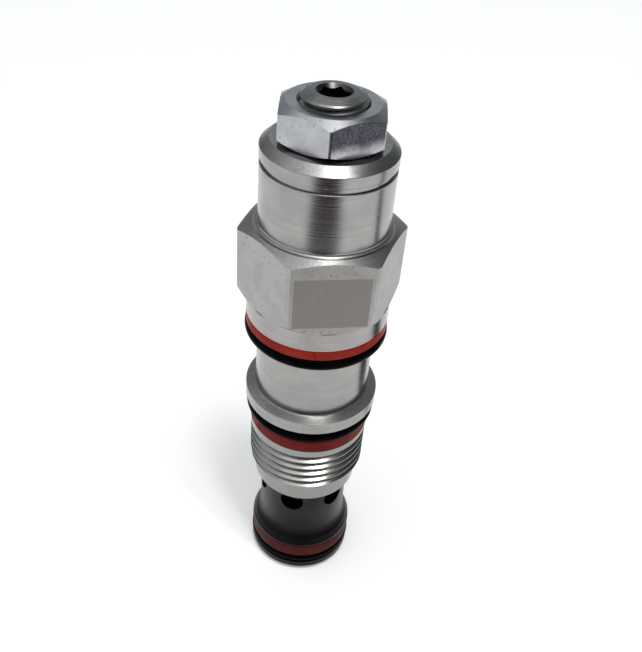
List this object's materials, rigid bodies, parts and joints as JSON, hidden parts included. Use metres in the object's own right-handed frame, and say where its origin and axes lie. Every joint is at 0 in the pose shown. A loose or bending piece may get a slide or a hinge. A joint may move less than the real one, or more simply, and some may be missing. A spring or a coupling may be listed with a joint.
{
  "type": "hydraulic cartridge valve",
  "caption": "Screw-in three-port counterbalance cartridge valve with a hex body, threaded mid-section, sealed nose sleeve and a lock-nutted pressure adjuster.",
  "frame": {"origin": "centre of the nose face, which the valve stands on", "axes": "+Z along the valve's axis from the nose up to the adjuster; one hex corner of the body points 10.5 degrees from +X towards +Y; the two pilot holes lie on the X axis"},
  "size_m": [0.025, 0.024, 0.0913],
  "materials": {
    "zinc_body": "satin clear zinc plate over turned steel",
    "zinc_nut": "bright bluish zinc plate",
    "plated_screw": "satin plated steel",
    "dark_sleeve": "dark oxide on hardened steel",
    "red_backup": "satin brick red",
    "black_rubber": "oiled black rubber",
    "spring_steel": "drawn wire",
    "ground_steel": "ground and hardened"
  },
  "bodies": {
    "body": {"valve_body": "zinc_body", "sleeve": "dark_sleeve", "sleeve_retaining_ring": "spring_steel", "upper_backup_ring": "red_backup", "upper_o_ring": "black_rubber", "middle_o_ring": "black_rubber", "middle_backup_ring": "red_backup", "nose_backup_ring": "red_backup", "nose_o_ring": "black_rubber", "stem_guide": "ground_steel", "guide_o_ring": "black_rubber", "stem_o_ring": "black_rubber", "stem_backup_ring": "red_backup", "relief_spring": "spring_steel", "check_spring": "spring_steel"},
    "lock_nut": {"lock_nut": "zinc_nut"},
    "spring_adjuster": {"upper_spring_seat": "ground_steel"},
    "adjuster": {"adjust_screw": "plated_screw", "adjuster_o_ring": "black_rubber", "adjuster_backup_ring": "red_backup"},
    "relief": {"relief_poppet": "ground_steel", "pilot_piston": "ground_steel", "pilot_piston_o_ring": "black_rubber", "pilot_piston_backup_ring": "red_backup", "lower_spring_seat": "ground_steel"},
    "check": {"check_piston": "dark_sleeve"}
  },
  "joints": [
    {"name": "lock_nut_turn", "type": "hinge", "parent": "body", "child": "lock_nut", "pos_m": [0, 0, 0.0875], "axis": [0, 0, 1], "range_deg": [0, 120]},
    {"name": "adjust_travel", "type": "slide", "parent": "body", "child": "spring_adjuster", "axis": [0, 0, 1], "range_m": [-0.00265, 0.00132], "deforming": ["relief_spring"]},
    {"name": "adjust_turn", "type": "hinge", "parent": "spring_adjuster", "child": "adjuster", "pos_m": [0, 0, 0.09], "axis": [0, 0, 1], "range_deg": [-900, 450]},
    {"name": "relief_lift", "type": "slide", "parent": "body", "child": "relief", "axis": [0, 0, 1], "range_m": [0, 0.0018], "stiffness_N_per_m": 40000, "springref_m": -0.003, "deforming": ["relief_spring"]},
    {"name": "check_opening", "type": "slide", "parent": "body", "child": "check", "axis": [0, 0, -1], "range_m": [0, 0.002], "stiffness_N_per_m": 500, "springref_m": -0.002, "deforming": ["check_spring"]}
  ],
  "couplings": [
    {"joint": "adjust_turn", "follows": "adjust_travel", "rad_per_m": 5936.9}
  ]
}
